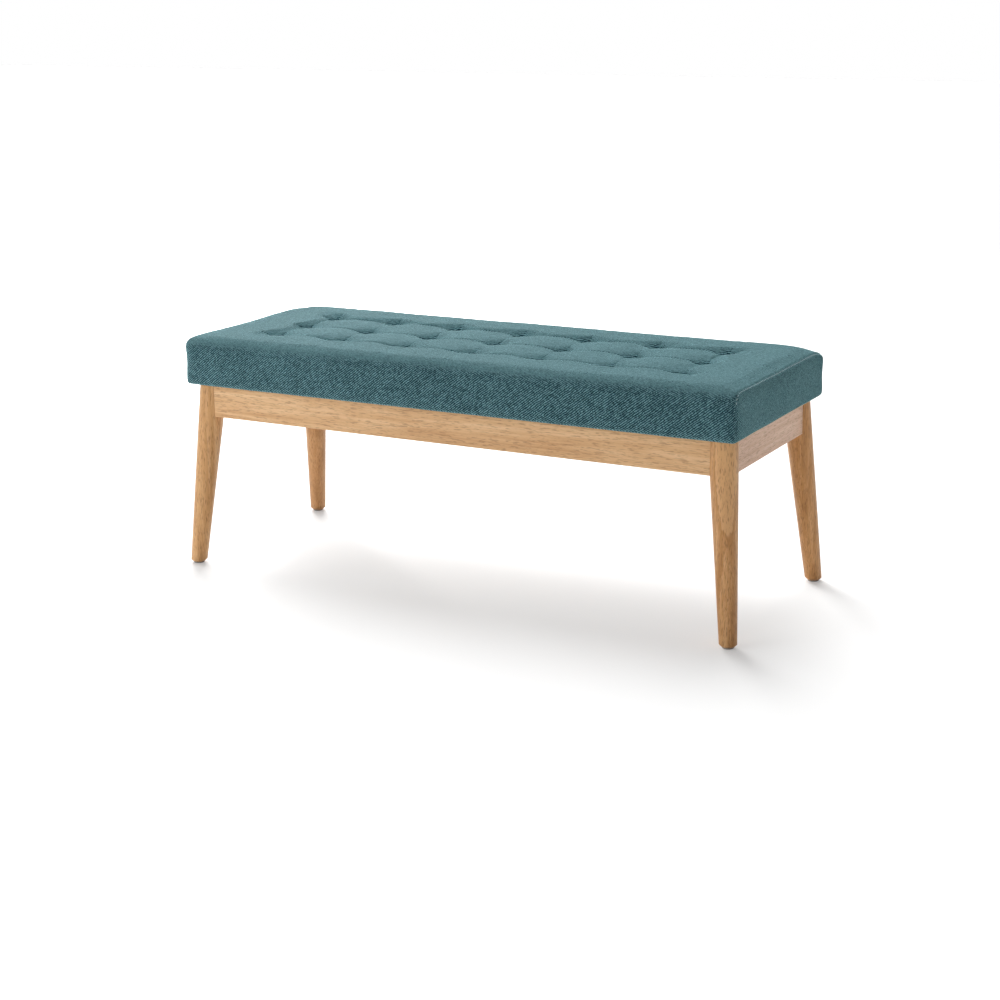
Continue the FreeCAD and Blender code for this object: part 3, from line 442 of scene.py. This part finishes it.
def cushion_cage():
    """A box cut into cells that are small beside the tufts, with its cloth map and flat places."""
    cells = {"x": 16, "y": 14, "z": 10}
    knots_x = [-HALF_LENGTH] + TUFT_COLUMNS + [HALF_LENGTH]
    knots_y = [-HALF_DEPTH] + TUFT_ROWS + [HALF_DEPTH]
    bm = bmesh.new()
    bmesh.ops.create_cube(bm, size=2)
    for axis, cuts in ((0, cells["x"] * 8 - 1), (1, cells["y"] * 4 - 1), (2, cells["z"] - 1)):
        edges = [e for e in bm.edges if abs(e.verts[0].co[axis] - e.verts[1].co[axis]) > 1e-4]
        bmesh.ops.subdivide_edges(bm, edges=edges, cuts=cuts, use_grid_fill=True)
    bm.verts.ensure_lookup_table()
    box = np.array([v.co[:] for v in bm.verts])
    flat = np.stack([crowd(box[:, 0], knots_x, cells["x"]), crowd(box[:, 1], knots_y, cells["y"]),
                     (BOTTOM + TOP) / 2 + box[:, 2] * (TOP - BOTTOM) / 2], axis=1)
    cloth = bm.loops.layers.uv.new("cloth")
    for face in bm.faces:
        middle = face.calc_center_median()
        face.smooth = True
        for loop in face.loops:
            x, y, z = flat[loop.vert.index]
            if abs(middle.x) > 0.9999:
                loop[cloth].uv = (y + 2 * math.copysign(1, middle.x), z)
            elif abs(middle.y) > 0.9999:
                loop[cloth].uv = (x, math.copysign(HALF_DEPTH + TOP - z, y))
            else:
                loop[cloth].uv = (x, y if middle.z > 0 else y + 2)
    mesh = bpy.data.meshes.new("cushion")
    bm.to_mesh(mesh)
    bm.free()
    place = mesh.attributes.new("flat_place", "FLOAT_VECTOR", "POINT")
    place.data.foreach_set("vector", flat.ravel())
    return mesh, flat


def share_on_top(flat):
    """For each vertex, 1 on the top, falling to 0 over the first 14 mm down the rolled edges."""
    return smooth((flat[:, 2] - (TOP - 14 * MM)) / (14 * MM))


def tuft_reach(flat, width, depth):
    """For each vertex, 1 in the middle of a tuft, falling softly to 0 past its width and depth."""
    nearest_x = np.min([np.abs(flat[:, 0] - x) for x in TUFT_COLUMNS], axis=0)
    nearest_y = np.min([np.abs(flat[:, 1] - y) for y in TUFT_ROWS], axis=0)
    return np.exp(-(nearest_x / width) ** 2 - (nearest_y / depth) ** 2)


def put(mesh, points):
    """Moves a mesh's vertices."""
    mesh.vertices.foreach_set("co", points.ravel())
    mesh.update()


def places_of(mesh):
    """Where a mesh's vertices are."""
    points = np.empty(len(mesh.vertices) * 3)
    mesh.vertices.foreach_get("co", points)
    return points.reshape(-1, 3)


def stuff(piece, start, flat, limit):
    """Inflates the cloth between its tufts and the board, and limits how far each point moves."""
    held = (flat[:, 2] < BOTTOM + 20 * MM) | ((tuft_reach(flat, 5 * MM, 5 * MM) > 0.5)
                                               & (flat[:, 2] > TOP - 1e-6))
    group = piece.vertex_groups.new(name="held")
    group.add([int(i) for i in np.nonzero(held)[0]], 1.0, "REPLACE")
    cloth = piece.modifiers.new("stuffing", "CLOTH")
    settings = cloth.settings
    settings.quality = 6
    settings.mass = 0.3
    settings.tension_stiffness = 40
    settings.compression_stiffness = 25
    settings.shear_stiffness = 10
    settings.bending_stiffness = 2
    settings.air_damping = 2
    settings.use_pressure = True
    settings.uniform_pressure_force = PRESSURE
    settings.effector_weights.gravity = 0
    settings.vertex_group_mass = "held"
    scene = bpy.context.scene
    scene.frame_start, scene.frame_end = 1, FRAMES
    cloth.point_cache.frame_start, cloth.point_cache.frame_end = 1, FRAMES
    for step in range(1, FRAMES + 1):
        scene.frame_set(step)
    done = piece.evaluated_get(bpy.context.evaluated_depsgraph_get())
    blown = places_of(done.to_mesh())
    done.to_mesh_clear()
    piece.modifiers.remove(cloth)
    piece.vertex_groups.remove(group)
    scene.frame_set(1)
    move = blown - start
    length = np.linalg.norm(move, axis=1, keepdims=True)
    to_edge = np.minimum(HALF_DEPTH - np.abs(flat[:, 1]), HALF_LENGTH - np.abs(flat[:, 0]))
    to_end = (HALF_LENGTH - np.abs(flat[:, 0]) - 8 * MM) / (75 * MM)
    free = 0.12 + 0.88 * smooth((to_edge + flat[:, 2] - TOP - 4 * MM) / (34 * MM)) * smooth(to_end)
    return start + move * free[:, None] * np.minimum(1, limit / np.maximum(length, 1e-9))


def pull_tufts(points, flat):
    """The tufts' pits, and the creases that run from tuft to tuft, pulled into the stuffed top.
    Distances and depths are in millimetres."""
    on_top = share_on_top(flat)
    across = np.min([np.abs(flat[:, 0] - x) for x in TUFT_COLUMNS], axis=0) / MM
    along = np.min([np.abs(flat[:, 1] - y) for y in TUFT_ROWS], axis=0) / MM
    to_end = (HALF_LENGTH - np.abs(flat[:, 0])) / MM
    to_edge = (HALF_DEPTH - np.abs(flat[:, 1])) / MM
    # a broad hollow, a steep pit in it, and the stitch's slit
    pit = 3.0 * np.exp(-(across / 20) ** 2 - (along / 17) ** 2)
    pit += 7.5 * np.exp(-(across / 13.5) ** 2 - (along / 8.5) ** 2)
    slit = 1.6 * np.exp(-(across / 12) ** 4 - along / 3)
    # creases along the rows, which fade at the ends, and short ones across them and at the rolls
    row = (1.8 + 1.4 * np.exp(-(across / 26) ** 2)) * np.exp(-along / 1.9)
    column = (0.4 + 3.6 * np.exp(-(along / 27) ** 2)) * np.exp(-across / 2.2)
    column += 2.0 * np.exp(-((to_edge - 34) / 16) ** 2 - across / 2.4)
    row = row * (0.7 + 0.3 * smooth((to_end - 30) / 90)) * smooth((to_end - 2) / 20)
    depth = (pit + slit + row + column) * on_top * MM
    points = points.copy()
    points[:, 2] -= depth
    low = np.maximum(TUFT_FLOOR - points[:, 2], 0) * on_top
    points[:, 2] += low * 0.85
    return points


def settle(points, flat):
    """The lie of the finished cushion: lower ends and corners, sides drawn in at the board, and the
    slight waves that hand-stretched cloth keeps."""
    x, y, z = points.T.copy()
    height = np.clip((z - BOTTOM) / (TOP - BOTTOM), 0, 1)
    end = np.exp(-((HALF_LENGTH - np.abs(x)) / (30 * MM)) ** 2)
    edge = np.exp(-((HALF_DEPTH - np.abs(y)) / (34 * MM)) ** 2)
    corner = np.where(y > 0, 7.0, 0.5) * end * edge
    z = z - height * (2.0 * end + corner) * MM
    lower = 1 - smooth(height / 0.35)
    y = y - np.sign(y) * smooth(np.abs(y) / HALF_DEPTH * 8 - 7) * 0.8 * MM * lower
    x = x - np.sign(x) * smooth(np.abs(x) / HALF_LENGTH * 20 - 19) * 0.7 * MM * lower
    wave = np.sin(x * 23 + 1.3) * np.sin(z * 41 + x * 7) + 0.6 * np.sin(x * 61 + z * 37 + 0.4)
    on_side = smooth(np.abs(flat[:, 1]) / HALF_DEPTH * 12 - 11)
    y = y + np.sign(y) * on_side * 0.55 * MM * (wave - 1)
    ripple = np.sin(y * 47 + 0.7) * np.sin(z * 53 + y * 11)
    on_end = smooth(np.abs(flat[:, 0]) / HALF_LENGTH * 24 - 23)
    x = x + np.sign(x) * on_end * 0.5 * MM * (ripple - 1)
    swell = np.sin(x * 17 + y * 29 + 2.1) + 0.7 * np.sin(x * 39 - y * 21 + 0.3)
    z = z + (0.35 * swell - 0.4) * MM * smooth(height * 4 - 3)
    return np.stack([x, y, z], axis=1)


def close_seams(points, flat):
    """The groove where each end panel is sewn to the main panel, between two puffed lips. It is
    shallower down the corners."""
    to_rim = np.where(np.abs(flat[:, 0]) < HALF_LENGTH - 1e-6, HALF_LENGTH - np.abs(flat[:, 0]),
                      np.minimum(HALF_DEPTH - np.abs(flat[:, 1]), TOP - flat[:, 2])) / MM
    sewn = smooth((flat[:, 2] - BOTTOM) / (12 * MM))
    middle = np.stack([np.sign(points[:, 0]) * (HALF_LENGTH - 60 * MM),
                       np.clip(points[:, 1], -HALF_DEPTH + 60 * MM, HALF_DEPTH - 60 * MM),
                       np.full(len(points), TOP - 60 * MM)], axis=1)
    outward = points - middle
    outward /= np.maximum(np.linalg.norm(outward, axis=1, keepdims=True), 1e-9)
    near_end = np.abs(points[:, 0]) > HALF_LENGTH - 60 * MM
    profile = 0.45 * np.exp(-((to_rim - 6) / 3.5) ** 2) - 1.2 * np.exp(-(to_rim / 1.6) ** 2)
    profile *= 1 - 0.65 * smooth((TOP - flat[:, 2] - 10 * MM) / (25 * MM))
    return points + outward * (profile * sewn * near_end * MM)[:, None]


def cushion():
    """The stuffed and tufted cushion, one closed form from the lower edges up."""
    mesh, flat = cushion_cage()
    start = upholstered_form(flat)
    on_top = share_on_top(flat)
    start[:, 2] -= 5.5 * MM * on_top * tuft_reach(flat, 27 * MM, 23 * MM)
    put(mesh, start)
    piece = bpy.data.objects.new("tufted_cushion", mesh)
    bpy.context.collection.objects.link(piece)
    put(mesh, stuff(piece, start, flat, 7 * MM))
    finer = piece.modifiers.new("finer", "SUBSURF")
    finer.levels = finer.render_levels = 1
    depsgraph = bpy.context.evaluated_depsgraph_get()
    fine = bpy.data.meshes.new_from_object(piece.evaluated_get(depsgraph))
    piece.modifiers.remove(finer)
    piece.data = fine
    flat = np.empty(len(fine.vertices) * 3)
    fine.attributes["flat_place"].data.foreach_get("vector", flat)
    flat = flat.reshape(-1, 3)
    points = places_of(fine)
    points = settle(pull_tufts(points, flat), flat)
    points = close_seams(points, flat)
    points[:, 2] = np.clip(points[:, 2], BOTTOM, 431.8 * MM)
    put(fine, points)
    fine.attributes.remove(fine.attributes["flat_place"])
    fine.materials.append(twill)
    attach(piece, "root")
    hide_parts("cover_main_panel", "cover_end_left", "cover_end_right", "wadding_wrap",
                "foam_pad")
    return points, flat


cushion_points, cushion_flat = cushion()


STITCH_PITCH = 6.2 * MM


def seam_stitches(side, thread):
    """The row of stitches that shows along the top of an end seam."""
    x, y, z = cushion_flat.T
    edge = (np.abs(z - TOP) < 1e-5) | (np.abs(np.abs(y) - HALF_DEPTH) < 1e-5)
    rim = edge & (np.abs(x - side * HALF_LENGTH) < 1e-5) & (z > TOP - 26 * MM)
    flat, path = cushion_flat[rim], cushion_points[rim]
    order = np.argsort(flat[:, 1] + np.sign(flat[:, 1]) * (TOP - flat[:, 2]))
    path = path[order]
    reach = np.concatenate([[0], np.cumsum(np.linalg.norm(np.diff(path, axis=0), axis=1))])
    bm = bmesh.new()
    for number in range(int(reach[-1] / STITCH_PITCH)):
        start = (number + 0.5) * STITCH_PITCH
        middle, ahead = (Vector([np.interp(at, reach, path[:, axis]) for axis in range(3)])
                         for at in (start, start + 0.5 * MM))
        run = (ahead - middle).normalized()
        outward = (Vector((side, 0, 1.4)).cross(run).cross(run) * -1).normalized()
        turn = Matrix((run, outward.cross(run), outward)).transposed()
        place = Matrix.Translation(middle + outward * 1.1 * MM) @ turn.to_4x4()
        size = Matrix.Diagonal((2.1 * MM, 0.65 * MM, 0.45 * MM, 1))
        bmesh.ops.create_uvsphere(bm, u_segments=6, v_segments=4, radius=1, matrix=place @ size)
    bmesh.ops.recalc_face_normals(bm, faces=bm.faces)
    mesh = bpy.data.meshes.new("stitches")
    bm.to_mesh(mesh)
    bm.free()
    mesh.shade_smooth()
    mesh.materials.append(thread)
    name = "seam_stitches_" + ("right" if side > 0 else "left")
    piece = bpy.data.objects.new(name, mesh)
    bpy.context.collection.objects.link(piece)
    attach(piece, "root")


thread = seam_thread()
seam_stitches(-1, thread)
seam_stitches(1, thread)


def dust_sheet():
    """The black cloth stapled under the board. It lies on the rails and sags between them."""
    half_x, half_y = 537.27 * MM, 191.2 * MM
    bm = bmesh.new()
    bmesh.ops.create_grid(bm, x_segments=140, y_segments=50, size=1,
                          matrix=Matrix.Diagonal((half_x, half_y, 1, 1)))
    for vert in bm.verts:
        x, y = vert.co.x, vert.co.y
        bay = max(0.0, math.sin(math.pi * max(0.0, min(1.0, (abs(x) - 0.034) / 0.39))))
        hang = 1 - max(0.0, min(1.0, abs(y) / 0.155)) ** 2
        pucker = 0.25 * math.sin(x * 96 + 0.7) * math.sin(y * 58 + x * 23)
        vert.co.z = 342.45 * MM - (2.2 * bay ** 2 * hang * (1 + pucker)) * MM
    bmesh.ops.solidify(bm, geom=list(bm.faces), thickness=0.4 * MM)
    bmesh.ops.recalc_face_normals(bm, faces=bm.faces)
    mesh = bpy.data.meshes.new("dust_sheet")
    bm.to_mesh(mesh)
    bm.free()
    mesh.materials.append(dust_cloth())
    piece = bpy.data.objects.new("dust_sheet", mesh)
    bpy.context.collection.objects.link(piece)
    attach(piece, "root")
    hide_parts("dust_cover")


dust_sheet()


# Studio

SURROUND = (0.56, 0.15)     # the surround's light from the left and from the right
SUN = ((-0.4, 0.45, 1), 45, 3.3)     # where it stands, its width in degrees and its strength
SOFT_BOXES = [("front_softbox", (-1.9, -2.4, 1.2), 1.8, 23),     # place, size and watts
              ("rear_softbox", (-2.1, 2.2, 1.15), 1.5, 200)]
SEAT_MIDDLE = Vector((0, 0, 0.35))


def seen_directly(tree):
    """1 for rays from the camera, mirrors and clear things, and 0 for the light that falls on the
    bench."""
    ray = add(tree, "LightPath").outputs
    seen = add(tree, "Math", {0: ray["Is Camera Ray"], 1: ray["Is Glossy Ray"]},
               operation="MAXIMUM").outputs[0]
    return add(tree, "Math", {0: seen, 1: ray["Is Transmission Ray"]},
               operation="MAXIMUM").outputs[0]


def studio():
    """A pale floor, a white surround, a wide soft sun above and two soft boxes on the left."""
    bm = bmesh.new()
    bmesh.ops.create_grid(bm, x_segments=1, y_segments=1, size=14)
    mesh = bpy.data.meshes.new("floor")
    bm.to_mesh(mesh)
    bm.free()
    floor = bpy.data.objects.new("floor", mesh)
    bpy.context.collection.objects.link(floor)
    material, tree, shader = start_material("matt_floor")
    seen = seen_directly(tree)
    tint = add(tree, "Mix", {0: seen, 6: paint("#E6E6E6"), 7: paint("#C6C6C6")}, data_type="RGBA")
    tree.links.new(tint.outputs[2], shader["Base Color"])
    glow = add(tree, "Math", {0: seen, 1: 0.30}, operation="MULTIPLY").outputs[0]
    tree.links.new(glow, shader["Emission Strength"])
    shader["Emission Color"].default_value = (1, 1, 1, 1)
    shader["Roughness"].default_value = 1
    shader["Specular IOR Level"].default_value = 0
    mesh.materials.append(material)

    world = bpy.data.worlds.new("surround")
    bpy.context.scene.world = world
    world.use_nodes = True
    tree = world.node_tree
    tree.nodes.clear()
    seen = seen_directly(tree)
    toward = add(tree, "SeparateXYZ", {"Vector": add(tree, "TexCoord").outputs["Generated"]})
    lit = add(tree, "MapRange", {"Value": toward.outputs["X"], "From Min": -1.0, "From Max": 1.0,
                                 "To Min": SURROUND[0], "To Max": SURROUND[1]}).outputs[0]
    level = add(tree, "Mix", {0: seen, 2: lit, 3: 1.0}).outputs[0]
    back = add(tree, "Background", {"Color": (1, 1, 1, 1), "Strength": level})
    add(tree, "OutputWorld", {"Surface": back.outputs[0]})

    data = bpy.data.lights.new("overhead_light", "SUN")
    data.angle, data.energy = math.radians(SUN[1]), SUN[2]
    light = bpy.data.objects.new("overhead_light", data)
    bpy.context.collection.objects.link(light)
    light.matrix_world = Vector(SUN[0]).to_track_quat("Z", "Y").to_matrix().to_4x4()
    for name, place, size, level in SOFT_BOXES:
        data = bpy.data.lights.new(name, "AREA")
        data.shape, data.size, data.energy = "SQUARE", size, level
        light = bpy.data.objects.new(name, data)
        bpy.context.collection.objects.link(light)
        light.visible_camera = False
        turn = (Vector(place) - SEAT_MIDDLE).to_track_quat("Z", "Y").to_matrix().to_4x4()
        light.matrix_world = Matrix.Translation(place) @ turn


studio()
bpy.context.scene.view_settings.view_transform = "Standard"
